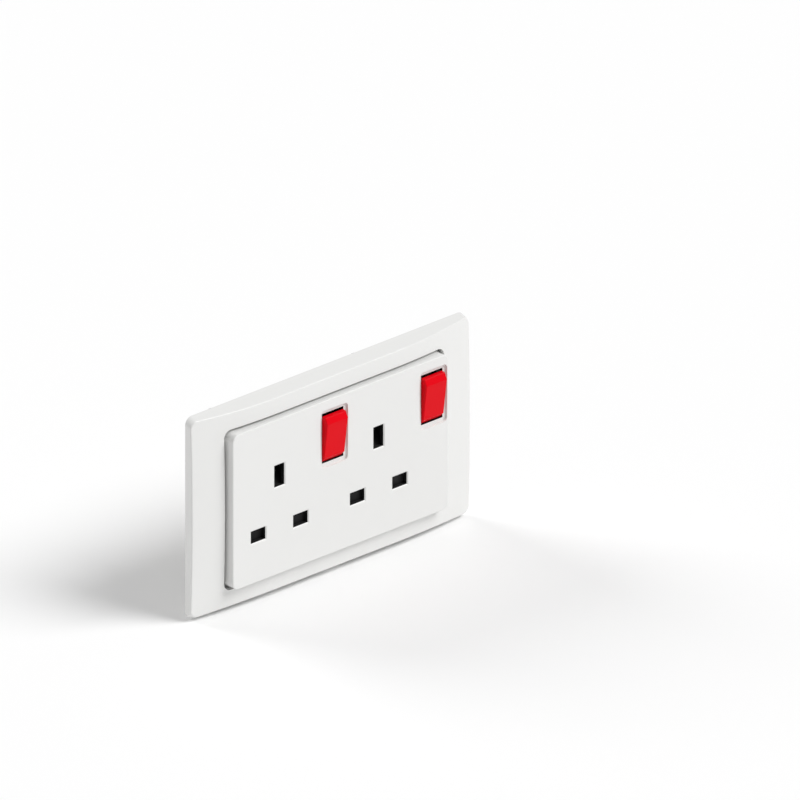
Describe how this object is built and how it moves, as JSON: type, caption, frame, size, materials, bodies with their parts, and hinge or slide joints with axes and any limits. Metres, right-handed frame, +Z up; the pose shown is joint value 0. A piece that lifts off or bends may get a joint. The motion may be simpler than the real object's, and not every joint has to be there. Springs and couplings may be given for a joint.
{
  "type": "twin switched socket outlet",
  "caption": "Wall-mounted British twin switched socket outlet with a raised panel, shuttered pin apertures and rocker switches in a crowned surround.",
  "frame": {"origin": "centre of the surround's outline on the wall plane, midway between the two fixing holes", "axes": "+X to the right seen from the front, +Z up, the front faces -Y and the wall lies on Y = 0"},
  "size_m": [0.146, 0.0335, 0.086],
  "materials": {
    "surround": "gloss moulded",
    "panel": "gloss moulded",
    "carrier": "moulded",
    "housing": "moulded",
    "rocker": "gloss moulded",
    "plunger": "moulded",
    "shutter": "moulded",
    "brass": "rolled strip",
    "contact_tip": "silver alloy",
    "clamp_screw": "turned",
    "case_screw": "zinc plated",
    "spring": "drawn wire"
  },
  "bodies": {
    "socket": {"surround_plate": "surround", "front_panel": "panel", "contact_carrier": "carrier", "rear_housing": "housing", "live_bar": "brass", "neutral_bar": "brass", "earth_bar": "brass", "line_contact_left": "brass", "line_contact_right": "brass", "fixed_tips": "contact_tip", "terminal_screws": "clamp_screw", "housing_screws": "case_screw", "shutter_spring_left": "spring", "shutter_spring_right": "spring"},
    "rocker_left": {"rocker_left": "rocker", "plunger_left": "plunger", "rocker_spring_left": "spring"},
    "switch_left": {"moving_contact_left": "brass", "moving_tip_left": "contact_tip"},
    "shutter_left": {"shutter_left": "shutter"},
    "rocker_right": {"rocker_right": "rocker", "plunger_right": "plunger", "rocker_spring_right": "spring"},
    "switch_right": {"moving_contact_right": "brass", "moving_tip_right": "contact_tip"},
    "shutter_right": {"shutter_right": "shutter"}
  },
  "joints": [
    {"name": "rocker_left_tilt", "type": "hinge", "parent": "socket", "child": "rocker_left", "pos_m": [-0.0034, -0.005, 0.0168], "axis": [-1, 0, 0], "range_deg": [0, 15]},
    {"name": "switch_left_tilt", "type": "hinge", "parent": "socket", "child": "switch_left", "pos_m": [-0.0034, 0.005, 0.0168], "axis": [-1, 0, 0], "range_deg": [-10, 0]},
    {"name": "shutter_left_slide", "type": "slide", "parent": "socket", "child": "shutter_left", "axis": [0, 0, -1], "range_m": [0, 0.0065], "stiffness_N_per_m": 120, "springref_m": -0.003, "deforming": ["shutter_spring_left"]},
    {"name": "rocker_right_tilt", "type": "hinge", "parent": "socket", "child": "rocker_right", "pos_m": [0.0486, -0.005, 0.0168], "axis": [-1, 0, 0], "range_deg": [0, 15]},
    {"name": "switch_right_tilt", "type": "hinge", "parent": "socket", "child": "switch_right", "pos_m": [0.0486, 0.005, 0.0168], "axis": [-1, 0, 0], "range_deg": [-10, 0]},
    {"name": "shutter_right_slide", "type": "slide", "parent": "socket", "child": "shutter_right", "axis": [0, 0, -1], "range_m": [0, 0.0065], "stiffness_N_per_m": 120, "springref_m": -0.003, "deforming": ["shutter_spring_right"]}
  ],
  "couplings": [
    {"joint": "switch_left_tilt", "follows": "rocker_left_tilt", "ratio": -0.6666},
    {"joint": "switch_right_tilt", "follows": "rocker_right_tilt", "ratio": -0.6666}
  ]
}
